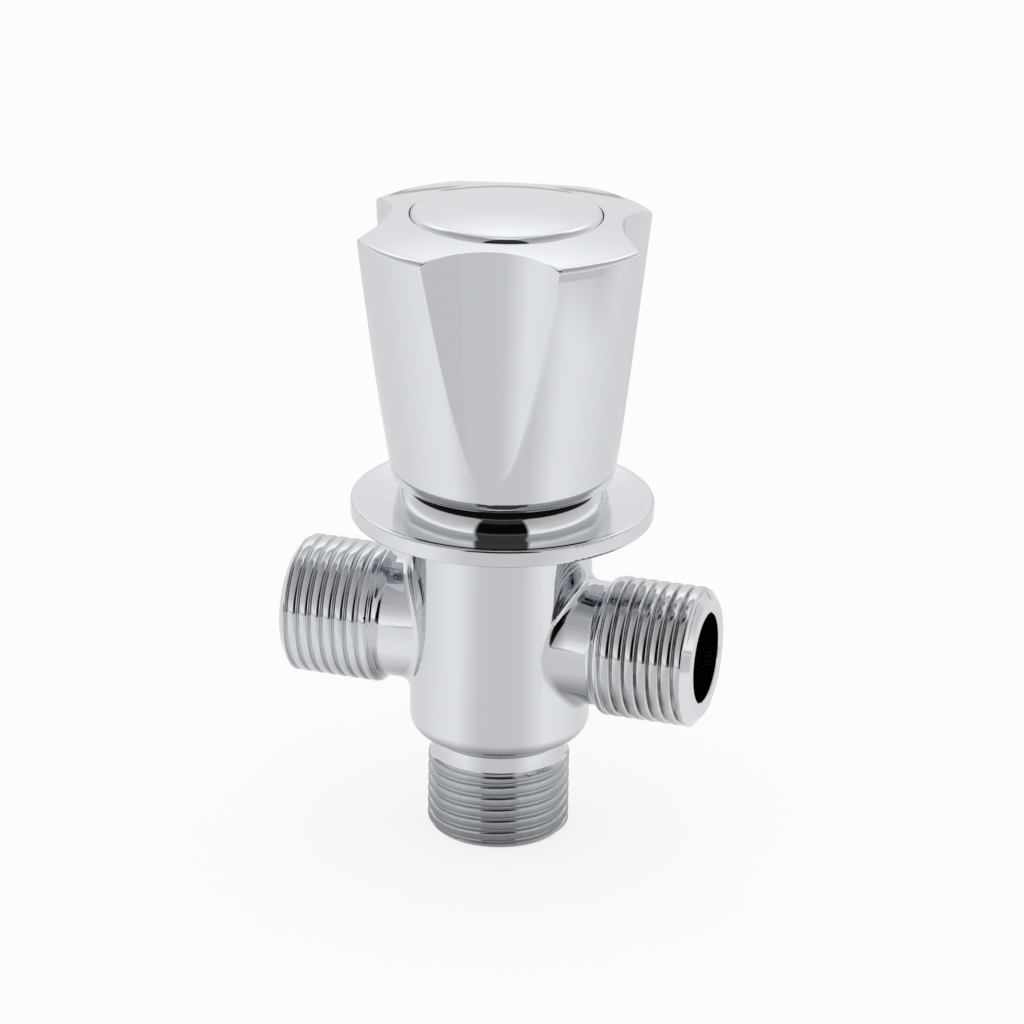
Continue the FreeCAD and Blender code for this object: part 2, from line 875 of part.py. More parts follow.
def make_stop_ring():
    """The ring on the spindle whose tab meets the ends of the bonnet's crown: a quarter turn."""
    body = new_body("travel_stop_ring", stop_ring_base)
    inner = spline_root + size("running_clearance")
    outer = half("stop_ring_diameter")
    height = size("stop_ring_thickness")
    turn(body, "ring", [(inner, ZERO), (outer, ZERO), (outer, height), (inner, height)])
    tab = new_sketch(body, "tab_outline", "XY_Plane")
    reach = half("bonnet_neck_diameter") - size("slot_clearance")
    sector(tab, (inner + outer) / 2, reach, size("stop_tab_angle"), TAB_MIDDLE)
    body.Tip = pad(body, "tab", tab, height)
    return body


def make_spindle_clip():
    """The open spring clip in the spindle's groove, above the stop ring."""
    body = new_body("spindle_clip", clip_base)
    inner = spline_root - size("clip_groove_depth") + size("slot_clearance")
    height = size("clip_thickness")
    outer = inner + size("clip_width")
    turn(body, "ring", [(inner, ZERO), (outer, ZERO), (outer, height), (inner, height)])
    opening = new_sketch(body, "opening_outline", "XY_Plane")
    overrun = size("cut_overrun")
    span = size("clip_opening_angle")
    sector(opening, inner - overrun, outer + overrun, span, CLIP_MIDDLE)
    body.Tip = pocket(body, "opening", opening, height, upwards=True)
    return body


def make_handle():
    """The cast handle: a fluted, flaring shell with a crown, a well for the screw and a boss."""
    body = new_body("handle", handle_base)
    body.setExpression("Placement.Rotation.Angle", size("handle_index_angle").text + " * 1 deg")
    foot = half("handle_foot_diameter")
    rim = half("handle_rim_diameter")
    rim_height = size("handle_height")
    bore = half("handle_bore_diameter")
    foot_round = size("handle_foot_radius").within((foot - bore) * WALL_SHARE_OF_A_ROUND)
    rim_round = size("handle_rim_radius")
    seat = half("cap_diameter") + size("slot_clearance")
    crown = size("handle_crown_radius")
    seat_height = crown_height(seat) - size("cap_edge_height") + size("cap_proud_height")
    well = half("handle_well_diameter")
    well_wall = well + size("handle_well_wall")
    deck_low = deck_base - handle_base
    deck_high = deck_top - handle_base
    hole = half("screw_diameter") + size("screw_clearance")
    boss_bore = insert_radius + size("running_clearance")
    boss = boss_bore + size("handle_boss_wall")
    boss_base = insert_base - handle_base
    ceiling = seat_height - size("handle_crown_wall")
    turn(
        body,
        "shell",
        [
            (bore, ZERO),
            (foot - foot_round, ZERO),
            (foot, foot_round, foot_round),
            (rim, rim_height - rim_round),
            (rim - rim_round, rim_height, rim_round),
            (seat, crown_height(seat), crown),
            (seat, seat_height),
            (well, seat_height),
            (well, deck_high),
            (hole, deck_high),
            (hole, deck_low),
            (boss_bore, deck_low),
            (boss_bore, boss_base),
            (boss, boss_base),
            (boss, deck_low),
            (well_wall, deck_low),
            (well_wall, ceiling),
            (bore, ceiling),
        ],
    )
    # A flute is cut by a cone: its side lies along the flute's floor, its axis leans outwards.
    foot_floor = foot - size("flute_foot_depth")
    top_floor = rim - size("flute_top_depth")
    foot_tool = size("flute_foot_radius")
    top_tool = size("flute_top_radius")
    corners = []
    for level in (-size("cut_overrun"), rim_height + size("flute_overrun")):
        share = level / rim_height
        floor = foot_floor + (top_floor - foot_floor) * share
        corners.append((floor, level))
        corners.append((floor + foot_tool + (top_tool - foot_tool) * share, level))
    floor_low, axis_low, floor_high, axis_high = corners
    sketch = new_sketch(body, "flute_outline")
    outline(sketch, [floor_low, axis_low, axis_high, floor_high])
    hold_axis(sketch, axis_low, axis_high)
    cutter = body.newObject("PartDesign::Groove", "flute")
    cutter.Profile = sketch
    cutter.ReferenceAxis = (sketch, ["Axis0"])
    cutter.Angle = 360
    around(body, "flutes", cutter, size("flute_count"))
    return body


def crown_height(radius):
    """Height of the handle's crown above its foot, at a distance from the axis."""
    edge = half("handle_rim_diameter") - size("handle_rim_radius")
    crown = size("handle_crown_radius")
    return size("handle_height") + root_of(crown, radius) - root_of(crown, edge)


def root_of(long_side, short_side):
    return (long_side * long_side - short_side * short_side).root()


def make_handle_insert():
    """The toothed bush in the handle's boss."""
    body = new_body("handle_insert", insert_base)
    height = deck_base - insert_base - size("running_clearance")
    turn(
        body,
        "bush",
        [(ZERO, ZERO), (insert_radius, ZERO), (insert_radius, height), (ZERO, height)],
    )
    splined_bore(body, height)
    return body


def make_spring_washer():
    """The split washer under the screw's head."""
    body = new_body("spring_washer", deck_top)
    inner = half("screw_diameter") + size("screw_clearance")
    outer = half("screw_head_diameter")
    height = size("spring_washer_thickness")
    turn(body, "ring", [(inner, ZERO), (outer, ZERO), (outer, height), (inner, height)])
    split = new_sketch(body, "split_outline", "XY_Plane")
    overrun = size("cut_overrun")
    gap = half("spring_washer_split")
    rectangle(split, inner - overrun, outer + overrun, -gap, gap)
    body.Tip = pocket(body, "split", split, height, upwards=True)
    return body


def make_handle_screw():
    """The screw that pulls the handle onto the spindle, with a cross recess."""
    body = new_body("handle_screw", washer_top)
    shank = half("screw_diameter")
    head = half("screw_head_diameter")
    height = size("screw_head_height")
    rounding = height / 2
    turn(
        body,
        "blank",
        [
            (ZERO, -size("screw_length")),
            (shank - size("screw_point_drop"), -size("screw_length")),
            (shank, size("screw_point_length") - size("screw_length")),
            (shank, ZERO),
            (head, ZERO),
            (head, height - rounding),
            (head - rounding, height, rounding),
            (ZERO, height),
        ],
    )
    cross = new_sketch(body, "cross_outline", "XY_Plane", height)
    wide = half("screw_recess_width")
    long = half("screw_recess_length")
    rectangle(cross, -long, long, -wide, wide)
    slot = pocket(body, "cross_slot", cross, size("screw_recess_depth"))
    around(body, "cross_recess", slot, RECESS_ARMS)
    return body


def make_handle_cap():
    """The domed button that closes the handle's well, held by a plug."""
    seat = half("cap_diameter") + size("slot_clearance")
    seat_height = crown_height(seat) - size("cap_edge_height") + size("cap_proud_height")
    body = new_body("handle_cap", handle_base + seat_height)
    radius = half("cap_diameter")
    edge = size("cap_edge_height")
    rise = size("cap_crown_height")
    rounding = size("cap_edge_radius")
    inner = radius - rounding
    dome = (inner * inner + rise * rise) / (rise * 2)
    plug = half("handle_well_diameter") - size("slot_clearance")
    turn(
        body,
        "button",
        [
            (ZERO, ZERO),
            (plug - size("cap_plug_wall"), ZERO),
            (plug - size("cap_plug_wall"), -size("cap_plug_length")),
            (plug, -size("cap_plug_length")),
            (plug, ZERO),
            (radius, ZERO),
            (radius, edge - rounding),
            (inner, edge, rounding),
            (ZERO, edge + rise, dome),
        ],
    )
    return body


pieces = [
    make_valve_body(),
    make_cover_flange(),
    make_flange_gasket(),
    make_bonnet_collar(),
    make_bonnet(),
    make_bonnet_seal(),
    make_seat_seal(),
    make_support_ring(),
    make_fixed_disc(),
    make_moving_disc(),
    make_spindle(),
    make_thrust_washer(),
    *make_spindle_rings(),
    make_stop_ring(),
    make_spindle_clip(),
    make_handle(),
    make_handle_insert(),
    make_spring_washer(),
    make_handle_screw(),
    make_handle_cap(),
]
doc.recompute()

for item in doc.Objects:
    for state in item.State:
        if state in ("Invalid", "Error"):
            raise RuntimeError(f"{item.Label} failed: {item.State}")
for piece in pieces:
    shape = piece.Shape
    if shape.isNull() or not shape.isValid():
        raise RuntimeError(f"{piece.Label} has no sound shape")
    print(f"{piece.Label}: {len(shape.Solids)} solid, {shape.Volume:.1f} mm3, box {shape.BoundBox}")

for piece in pieces:
    piece.Shape.exportStep(f"parts/{piece.Label}.step")
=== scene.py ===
# %% [markdown]
# # A chrome stopcock with a fluted handle
#
# The real object is a small brass casting, plated with chrome and polished. It stands on its own
# threaded foot. This lesson loads the measured model, keeps every piece where it is, and gives it
# the look of the real thing: true screw threads, polished plate, and a bright studio to reflect.

# %% Load the measured model
import bmesh
import bpy
import math
from mathutils import Matrix, Vector


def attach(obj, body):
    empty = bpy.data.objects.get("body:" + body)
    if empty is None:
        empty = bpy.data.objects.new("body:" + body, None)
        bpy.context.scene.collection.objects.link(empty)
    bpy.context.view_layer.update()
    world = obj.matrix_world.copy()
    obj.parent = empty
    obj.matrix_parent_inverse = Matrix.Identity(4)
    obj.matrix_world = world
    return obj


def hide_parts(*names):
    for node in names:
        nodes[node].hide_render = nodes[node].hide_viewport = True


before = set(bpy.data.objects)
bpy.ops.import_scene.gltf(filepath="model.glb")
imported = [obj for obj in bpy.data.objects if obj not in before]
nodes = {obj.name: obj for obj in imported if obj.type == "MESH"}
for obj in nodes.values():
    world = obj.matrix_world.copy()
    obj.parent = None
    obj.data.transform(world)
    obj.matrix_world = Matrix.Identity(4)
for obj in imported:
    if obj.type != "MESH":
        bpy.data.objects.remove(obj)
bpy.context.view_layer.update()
MM = 0.001

# %% [markdown]
# ## The camera
#
# The picture looks down on the front of the part, from a little to its right. A long lens at a
# fair distance keeps the upright edges almost parallel. The camera is placed by its azimuth and
# elevation around a point on the axis, because those are the angles one would set up on a tripod.

# %% Camera
CAMERA_AZIMUTH = 18.3
CAMERA_ELEVATION = 21.2
CAMERA_DISTANCE = 647 * MM
CAMERA_ROLL = 0.86
AIM_HEIGHT = 48.8 * MM
AIM_ACROSS = 1.4 * MM
PIXELS_PER_MM = 6.95
PICTURE_SIDE = 1024
SENSOR = 36.0

azimuth = math.radians(CAMERA_AZIMUTH)
elevation = math.radians(CAMERA_ELEVATION)
towards_camera = Vector(
    (
        math.sin(azimuth) * math.cos(elevation),
        -math.cos(azimuth) * math.cos(elevation),
        math.sin(elevation),
    )
)
across = Vector((0, 0, 1)).cross(towards_camera).normalized()
aim = Vector((0, 0, AIM_HEIGHT)) + across * AIM_ACROSS
camera_data = bpy.data.cameras.new("camera")
camera_data.sensor_width = SENSOR
camera_data.lens = SENSOR * PIXELS_PER_MM * (CAMERA_DISTANCE / MM) / PICTURE_SIDE
camera_data.clip_start = 0.01
camera = bpy.data.objects.new("camera", camera_data)
bpy.context.scene.collection.objects.link(camera)
turn = towards_camera.to_track_quat("Z", "Y").to_matrix().to_4x4()
roll = Matrix.Rotation(math.radians(CAMERA_ROLL), 4, "Z")
camera.matrix_world = Matrix.Translation(aim + towards_camera * CAMERA_DISTANCE) @ turn @ roll
bpy.context.scene.camera = camera
print("lens in mm:", round(camera_data.lens, 1))


# %% [markdown]
# ## A small language for shader maths
#
# A finish is worked out with nodes, but it reads best as ordinary arithmetic. A small class wraps
# one output socket, and its operators add the Math nodes. One more call makes any other node from
# its type, its settings and the values or links of its sockets.

# %% Shader helper
class Wire:
    """One output socket of a node tree, with arithmetic."""

    def __init__(self, tree, socket):
        self.tree = tree
        self.socket = socket

    def math(self, operation, *others):
        node = self.tree.nodes.new("ShaderNodeMath")
        node.operation = operation
        for slot, value in zip(node.inputs, (self, *others)):
            connect(self.tree, slot, value)
        return Wire(self.tree, node.outputs[0])

    def __add__(self, other):
        return self.math("ADD", other)

    def __mul__(self, other):
        return self.math("MULTIPLY", other)

    def __sub__(self, other):
        return self.math("SUBTRACT", other)

    def __rsub__(self, other):
        return (self * -1) + other

    def __truediv__(self, other):
        return self.math("DIVIDE", other)

    __radd__ = __add__
    __rmul__ = __mul__


def connect(tree, slot, value):
    if isinstance(value, Wire):
        tree.links.new(value.socket, slot)
    else:
        slot.default_value = value


def add_node(tree, kind, settings=None, values=None, output=0):
    """A node of a type: settings first, then the values or links of its sockets."""
    node = tree.nodes.new("ShaderNode" + kind)
    for name, value in (settings or {}).items():
        setattr(node, name, value)
    for name, value in (values or {}).items():
        connect(tree, node.inputs[name], value)
    return Wire(tree, node.outputs[output])


def ramp(tree, factor, stops):
    """Grey levels along a factor: stops are (place, level)."""
    node = tree.nodes.new("ShaderNodeValToRGB")
    node.color_ramp.interpolation = "LINEAR"
    elements = node.color_ramp.elements
    while len(elements) < len(stops):
        elements.new(0.5)
    for element, (place, level) in zip(elements, stops):
        element.position = place
        element.color = (level, level, level, 1)
    connect(tree, node.inputs[0], factor)
    return Wire(tree, node.outputs[0])


# %% [markdown]
# ## The studio
#
# Chrome has no colour of its own: what one sees is the studio. The room is drawn once, in the
# world, as light that depends on direction: a pale floor below the horizon, screens at the sides
# that are white low down and greyer above, a sweep behind that brightens upwards, and the dark gap
# in the screens through which the picture is taken. Straight views of the world are plain white.
#
# Each part of the room is a short table of tones by angle. A table is easy to read and to change,
# and it says what a photographer would say: how bright each screen is, and how high it reaches.

# %% Tones to light
def grey(tone):
    """The light that shows as this eight-bit tone."""
    share = tone / 255
    return share / 12.92 if share <= 0.04045 else ((share + 0.055) / 1.055) ** 2.4


CHROME_SHARE = 0.66


def screen(tone):
    """The light a screen needs, for the plate to show that tone."""
    return grey(tone) / CHROME_SHARE


def by_angle(tree, angle, pairs):
    """Light along an angle: pairs are (degrees, tone), from the lowest angle up."""
    low, high = pairs[0][0], pairs[-1][0]
    stops = [((degrees - low) / (high - low), screen(tone)) for degrees, tone in pairs]
    return ramp(tree, (angle - low) / (high - low), stops)


print("a mid grey screen gives", round(screen(128), 3))

# %% The tones of the room
# Tones by the angle away from the camera's side, for what lies below the horizon.
FLOOR_TONES = ((0, 193), (24, 195), (50, 222), (66, 222), (106, 209), (150, 199), (180, 200))
# Tones by height above the horizon, for the four parts of the room.
GAP_TONES = ((-5, 150), (0, 110), (6, 32), (10, 5), (38, 5), (43, 45), (78, 55), (90, 240))
EDGE_TONES = ((-5, 225), (0, 238), (10, 222), (22, 192), (38, 168), (60, 160), (76, 150), (90, 250))
SIDE_TONES = ((-5, 225), (0, 236), (8, 230), (15, 196), (42, 172), (66, 150), (76, 150), (90, 250))
SWEEP_TONES = ((-5, 200), (14, 210), (27, 218), (36, 234), (42, 251), (48, 248), (54, 175), (90, 245))
# In a reflection of a reflection the gap is never darker than this.
GAP_AGAIN = 60
# Degrees from the camera's side at which the edge, side and sweep begin, and how soft that is.
EDGE_FROM, EDGE_SOFT = 29, 4
SIDE_FROM, SIDE_SOFT = 46, 8
SWEEP_FROM, SWEEP_SOFT = 126, 14
# The thin darker line where the floor meets the screens.
LINE_HEIGHT = 1.0
LINE_SHARE = 0.4
SOFT_FILL = 0.95

# %% [markdown]
# ## The room as light
#
# The world's shader turns a direction into two angles: how high it is, and how far it lies from
# the camera's side. Only rays that come from a polished surface see the screens. Everything matt is
# lit by an even white fill, as a tent of diffusing cloth would do it, so that no lamp is needed.

# %% Directions
world = bpy.data.worlds.new("studio")
bpy.context.scene.world = world
world.use_nodes = True
room = world.node_tree
room.nodes.clear()
direction = add_node(room, "TexCoord", output=0)
parts = room.nodes.new("ShaderNodeSeparateXYZ")
connect(room, parts.inputs[0], direction)
east, north, up = (Wire(room, parts.outputs[n]) for n in range(3))


def camera_side(east, north):
    """Degrees away from the camera's side, and how far that is to the right of the axis."""
    length = (east * east + north * north + 1e-9).math("SQRT")
    facing = (east * math.sin(azimuth) - north * math.cos(azimuth)) / length
    facing = facing.math("MINIMUM", 0.99999).math("MAXIMUM", -0.99999)
    rightward = (east * math.cos(azimuth) + north * math.sin(azimuth)) / length
    return facing.math("ARCCOSINE") * (180 / math.pi), rightward, length


around, _, _ = camera_side(east, north)
height = up.math("ARCSINE") * (180 / math.pi)


def step(value, edge, softness):
    """0 below an edge and 1 above it, with a soft change."""
    return ((value - edge) / softness + 0.5).math("MINIMUM", 1.0).math("MAXIMUM", 0.0)


def blend(tree, factor, low, high):
    return high * factor + low * (1 - factor)


paths = room.nodes.new("ShaderNodeLightPath")
is_camera = Wire(room, paths.outputs["Is Camera Ray"])
is_glossy = Wire(room, paths.outputs["Is Glossy Ray"])
again = step(Wire(room, paths.outputs["Glossy Depth"]), 1.5, 0.2)

# %% World
gap_light = by_angle(room, height, GAP_TONES).math("MAXIMUM", again * screen(GAP_AGAIN))
upper = by_angle(room, height, SIDE_TONES)
sweep = by_angle(room, height, SWEEP_TONES)
edge_light = by_angle(room, height, EDGE_TONES)
upper = blend(room, step(around, SWEEP_FROM, SWEEP_SOFT), upper, sweep)
upper = blend(room, step(around, SIDE_FROM, SIDE_SOFT), edge_light, upper)
upper = blend(room, step(around, EDGE_FROM, EDGE_SOFT), gap_light, upper)
below = by_angle(room, around, FLOOR_TONES)
horizon_line = 1 - step((height - LINE_HEIGHT).math("ABSOLUTE"), 1.2, 1.0)
over = step(height, 0.6, 0.8)
seen = blend(room, over, below, upper)
seen = seen * (1 - horizon_line * LINE_SHARE)
studio = add_node(room, "Background", values={"Color": seen, "Strength": 1.0})
white = add_node(room, "Background", values={"Color": (1, 1, 1, 1), "Strength": 1.0})
soft = add_node(room, "Background", values={"Color": (1, 1, 1, 1), "Strength": SOFT_FILL})
mixed = add_node(room, "MixShader", values={0: is_glossy, 1: soft, 2: studio})
mixed = add_node(room, "MixShader", values={0: is_camera, 1: mixed, 2: white})
surface = room.nodes.new("ShaderNodeOutputWorld")
connect(room, surface.inputs["Surface"], mixed)
print("room nodes:", len(room.nodes))


# %% [markdown]
# ## The floor
#
# The part stands on a white sweep. The floor keeps the soft shadow under the foot, and its light
# is mostly its own, so it stays as white as the background. In reflections the paper close to the
# foot has a painted shade: its glow there is dimmed by distance from the axis.

# %% Floor
FLOOR_SIDE = 1.6
FLOOR_OWN_LIGHT = 0.76
# Painted shade: the share of its light that the paper keeps in reflections, by distance from the axis
# in mm.
SHADE_SHARES = ((0, 0.4), (14, 0.5), (26, 0.8), (38, 1.0))
# Painted shade: far out on the right the sweep glows darker in reflections, as where it turns away
# from the lamps.
FAR_RIGHT_SHADE_TONE = 190
FAR_START = 150 * MM

floor_mesh = bmesh.new()
bmesh.ops.create_grid(floor_mesh, x_segments=8, y_segments=8, size=FLOOR_SIDE)
floor_data = bpy.data.meshes.new("floor")
floor_mesh.to_mesh(floor_data)
floor_mesh.free()
floor = bpy.data.objects.new("floor", floor_data)
bpy.context.scene.collection.objects.link(floor)
print("floor side in metres:", 2 * FLOOR_SIDE)

# %% Floor paper
floor_material = bpy.data.materials.new("floor_paper")
floor_material.use_nodes = True
paper = floor_material.node_tree
paper.nodes.clear()
matt = add_node(paper, "BsdfDiffuse", values={"Color": (0.95, 0.95, 0.95, 1)})
glow = add_node(paper, "Emission", values={"Color": (1, 1, 1, 1), "Strength": 1.0})
sheet = add_node(paper, "MixShader", values={0: FLOOR_OWN_LIGHT, 1: matt, 2: glow})
floor_paths = paper.nodes.new("ShaderNodeLightPath")
ray = Wire(paper, floor_paths.outputs["Is Camera Ray"])
mirrored = Wire(paper, floor_paths.outputs["Is Glossy Ray"])
place = add_node(paper, "TexCoord", output=3)
spot = paper.nodes.new("ShaderNodeSeparateXYZ")
connect(paper, spot.inputs[0], place)
spot_around, spot_right, spot_away = camera_side(*(Wire(paper, spot.outputs[n]) for n in range(2)))
# Painted shade on the far right of the sweep, seen only in reflections.
far_right_shade = step(spot_away, FAR_START, 30 * MM) * step(spot_right, 0.3, 0.1)
far_right_shade = far_right_shade * (1 - step(spot_around, 85, 20))
paper_light = by_angle(paper, spot_around, FLOOR_TONES)
paper_light = blend(paper, far_right_shade, paper_light, screen(FAR_RIGHT_SHADE_TONE))
reach = SHADE_SHARES[-1][0]
shares = [(away / reach, share) for away, share in SHADE_SHARES]
# Painted shade near the foot, seen only in reflections.
paper_light = paper_light * ramp(paper, spot_away / (reach * MM), shares)
clear = add_node(paper, "BsdfTransparent")
dim = add_node(paper, "Emission", values={"Color": paper_light, "Strength": 1.0})
under = add_node(paper, "MixShader", values={0: mirrored, 1: clear, 2: dim})
shown = add_node(paper, "MixShader", values={0: ray, 1: under, 2: sheet})
floor_surface = paper.nodes.new("ShaderNodeOutputMaterial")
connect(paper, floor_surface.inputs["Surface"], shown)
floor_data.materials.append(floor_material)
print("paper nodes:", len(paper.nodes))

# %% [markdown]
# ## The finishes
#
# A finish is a function of the place on the piece, in the piece's own coordinates, so it stays put
# when the piece moves and needs no picture. Each function returns what goes into the shader. The
# helper below builds the material round it, so that a finish reads as a short list of causes.


# %% Material helpers
def finish(name, build):
    material = bpy.data.materials.new(name)
    material.use_nodes = True
    tree = material.node_tree
    tree.nodes.clear()
    shader = tree.nodes.new("ShaderNodeBsdfPrincipled")
    output = tree.nodes.new("ShaderNodeOutputMaterial")
    tree.links.new(shader.outputs[0], output.inputs["Surface"])
    place = add_node(tree, "TexCoord", output=3)
    for socket, value in build(tree, place).items():
        connect(tree, shader.inputs[socket], value)
    return material


def noise(tree, place, scale, detail=2.0):
    return add_node(tree, "TexNoise", values={"Vector": place, "Scale": scale, "Detail": detail})


def split(tree, vector):
    """The X, Y and Z of a vector."""
    node = tree.nodes.new("ShaderNodeSeparateXYZ")
    connect(tree, node.inputs[0], vector)
    return [Wire(tree, output) for output in node.outputs]


def tinted(tree, share, plain, other):
    """A colour that goes from plain to other as the share goes from 0 to 1."""
    node = tree.nodes.new("ShaderNodeMix")
    node.data_type = "RGBA"
    connect(tree, node.inputs["Factor"], share)
    connect(tree, node.inputs[6], plain if isinstance(plain, Wire) else plain + (1,))
    connect(tree, node.inputs[7], other + (1,))
    return Wire(tree, node.outputs[2])


# %% [markdown]
# ## Polished plate
#
# Chrome plate on polished brass is a mirror with a breath of softness and a faint blue. Hand
# polishing leaves slow waves and fine wiping marks, so the gloss and the surface wander a little.
# Inside the hollow handle the colour is painted nearly black. This painted shade makes the
# shadow line under the handle deep.

# %% Plate
PLATE = (0.644, 0.66, 0.686)
PLATE_WORN = (0.62, 0.63, 0.66)
# Painted shade: the near-black colour inside the hollow handle.
HOLLOW_PAINTED_SHADE = (0.03, 0.026, 0.022)
HOLLOW_RADIUS = 15.35 * MM
HOLLOW_TOP = 90 * MM


def chrome(tree, place):
    """Polished plate: a mirror, with faint wiping marks and a slow wander in its gloss."""
    cloud = noise(tree, place, 90.0)
    fine = noise(tree, place, 900.0)
    waves = add_node(
        tree, "Bump", values={"Height": cloud, "Strength": 0.03, "Distance": 0.5 * MM}
    )
    return {
        "Base Color": tinted(tree, cloud * 0.1, PLATE, PLATE_WORN),
        "Metallic": 1.0,
        "Roughness": cloud * 0.03 + fine * 0.015 + 0.02,
        "Normal": waves,
    }


def plate_with_painted_hollow_shade(tree, place):
    """The handle: plate outside, and a painted shade inside the hollow, near black and rougher."""
    made = chrome(tree, place)
    x, y, z = split(tree, place)
    from_axis = (x * x + y * y).math("SQRT")
    inside = 1 - step(from_axis, HOLLOW_RADIUS, 0.2 * MM)
    inside = inside * (1 - step(z, HOLLOW_TOP, 0.5 * MM))
    # Painted shade: the inside of the hollow is turned near black.
    made["Base Color"] = tinted(tree, inside, made["Base Color"], HOLLOW_PAINTED_SHADE)
    made["Roughness"] = made["Roughness"] + inside * 0.5
    return made


# %% [markdown]
# ## Plate on the threads
#
# The crests of the threads are given a darker, rougher, mottled plate than the barrel, and the
# foot's crests are darkest. Polishing paste and damp stay in the grooves of the right outlet and
# dry to a thin brown bloom. Radius and distance along each spigot tell crests from grooves,
# because that is what sets them apart on the real piece too.

# %% Threaded plate
OUTLET_AXIS = 30.6 * MM
GROOVE_STAIN = (0.36, 0.29, 0.23)
DULL_PLATE = (0.33, 0.345, 0.365)
THREAD_FROM, THREAD_TO = 17.6 * MM, 30.0 * MM
FOOT_THREAD_TOP = 11.6 * MM
OUTLET_SKIN, OUTLET_CREST = 9.2 * MM, 9.9 * MM
INLET_SKIN, INLET_CREST = 9.3 * MM, 10.1 * MM
GROOVE_RADIUS = 9.85 * MM


def threaded_plate(tree, place):
    """The body: bright plate, darker and rougher on the threads' crests, with a brown bloom in some
    grooves.
    """
    made = chrome(tree, place)
    x, y, z = split(tree, place)
    rise = z - OUTLET_AXIS
    outlet_radius = (y * y + rise * rise).math("SQRT")
    out = x.math("ABSOLUTE")
    on_outlet = step(out, THREAD_FROM, 0.8 * MM) * (1 - step(out, THREAD_TO, 0.3 * MM))
    on_outlet = on_outlet * step(outlet_radius, OUTLET_SKIN, 0.1 * MM)
    inlet_radius = (x * x + y * y).math("SQRT")
    on_inlet = step(inlet_radius, INLET_SKIN, 0.1 * MM) * (1 - step(z, FOOT_THREAD_TOP, 0.5 * MM))
    mottle = noise(tree, place, 1400.0, 5.0)
    crests = on_outlet * step(outlet_radius, OUTLET_CREST, 0.1 * MM) * (mottle * 0.4)
    dull = crests + on_inlet * step(inlet_radius, INLET_CREST, 0.1 * MM) * (mottle * 0.5 + 0.45)
    color = tinted(tree, dull, made["Base Color"], DULL_PLATE)
    patchy = noise(tree, place, 260.0, 3.0)
    low = on_outlet * (1 - step(outlet_radius, GROOVE_RADIUS, 0.35 * MM)) * step(x, 0.0, MM)
    stain = low * step(patchy, 0.5, 0.3)
    made["Base Color"] = tinted(tree, stain, color, GROOVE_STAIN)
    made["Roughness"] = made["Roughness"] + dull * 0.12 + stain * 0.2
    return made


# %% [markdown]
# ## The inner pieces
#
# Nothing inside is polished for show. Brass and steel keep the fine rings that the lathe leaves
# across the axis. Rubber, plastic, fibre and ceramic come from a mould or a press, with an even
# grain, and differ in colour and gloss alone, so one function makes all four.

# %% Inner finishes
def turned(tree, place, color, gloss):
    """Bare metal off the lathe: fine rings across the axis, and some stain."""
    rings = (split(tree, place)[2] * 18000).math("SINE")
    stain = noise(tree, place, 240.0, 4.0)
    grooves = add_node(
        tree, "Bump", values={"Height": rings, "Strength": 0.15, "Distance": 0.02 * MM}
    )
    return {
        "Base Color": tinted(tree, stain, color, tuple(0.7 * part for part in color)),
        "Metallic": 1.0,
        "Roughness": stain * 0.12 + gloss,
        "Normal": grooves,
    }


def moulded(tree, place, color, gloss, grain):
    """Rubber, plastic, fibre or ceramic: its own colour, slightly mottled, with a fine grain."""
    mottle = noise(tree, place, 700.0, 3.0)
    skin = add_node(
        tree,
        "Bump",
        values={"Height": noise(tree, place, grain), "Strength": 0.2, "Distance": 0.05 * MM},
    )
    return {
        "Base Color": tinted(tree, mottle, color, tuple(0.8 * part for part in color)),
        "Roughness": mottle * 0.1 + gloss,
        "Normal": skin,
    }


# %% Give every measured piece its finish
finishes = {
    "chrome": finish("chrome_plate", chrome),
    "hollow": finish("chrome_handle_painted_hollow_shade", plate_with_painted_hollow_shade),
    "threaded": finish("chrome_threaded_body", threaded_plate),
    "brass": finish("brass", lambda t, p: turned(t, p, (0.72, 0.5, 0.22), 0.22)),
    "steel": finish("steel", lambda t, p: turned(t, p, (0.6, 0.6, 0.62), 0.25)),
    "rubber": finish("rubber", lambda t, p: moulded(t, p, (0.022, 0.022, 0.024), 0.45, 3000.0)),
    "plastic": finish("plastic", lambda t, p: moulded(t, p, (0.75, 0.74, 0.7), 0.3, 2000.0)),
    "fibre": finish("fibre", lambda t, p: moulded(t, p, (0.33, 0.1, 0.07), 0.7, 1200.0)),
    "ceramic": finish("ceramic", lambda t, p: moulded(t, p, (0.82, 0.8, 0.76), 0.12, 1500.0)),
}
for node in nodes.values():
    slot = node.material_slots[0].material.name.split(".")[0]
    node.data.materials.clear()
    node.data.materials.append(finishes[slot])
print("finishes:", sorted(finishes))

# %% [markdown]
# ## The threads
#
# The real threads are rolled into the casting's three spigots: wide rounded crests with narrow
# grooves, one long helix each. A line of points is drawn once, with one crest per pitch, and spun
# about the spigot's axis while it moves on by one pitch a turn. So the surface closes on itself.
# Near the neck the groove runs out, and at the open end a bevel cuts across the crests.

# %% Thread maker
PITCH = 1.814 * MM
TURN_STEPS = 120
GROOVE_SHAPE = (
    (0.0, 1.0),
    (0.04, 0.92),
    (0.08, 0.66),
    (0.12, 0.36),
    (0.16, 0.17),
    (0.22, 0.075),
    (0.33, 0.02),
    (0.5, 0.0),
    (0.67, 0.02),
    (0.78, 0.075),
    (0.84, 0.17),
    (0.88, 0.36),
    (0.92, 0.66),
    (0.96, 0.92),
)
# Points closer than this are one point.
MERGE = 0.002 * MM
# How far from its level and its radius an open edge may lie to count as part of a ring.
LEVEL_SLACK = 0.05 * MM
RADIUS_SLACK = 0.6 * MM


def ease(low, high, at):
    """0 below low, 1 above high, with a smooth rise between."""
    share = min(max((at - low) / (high - low), 0.0), 1.0)
    return share * share * (3 - 2 * share)


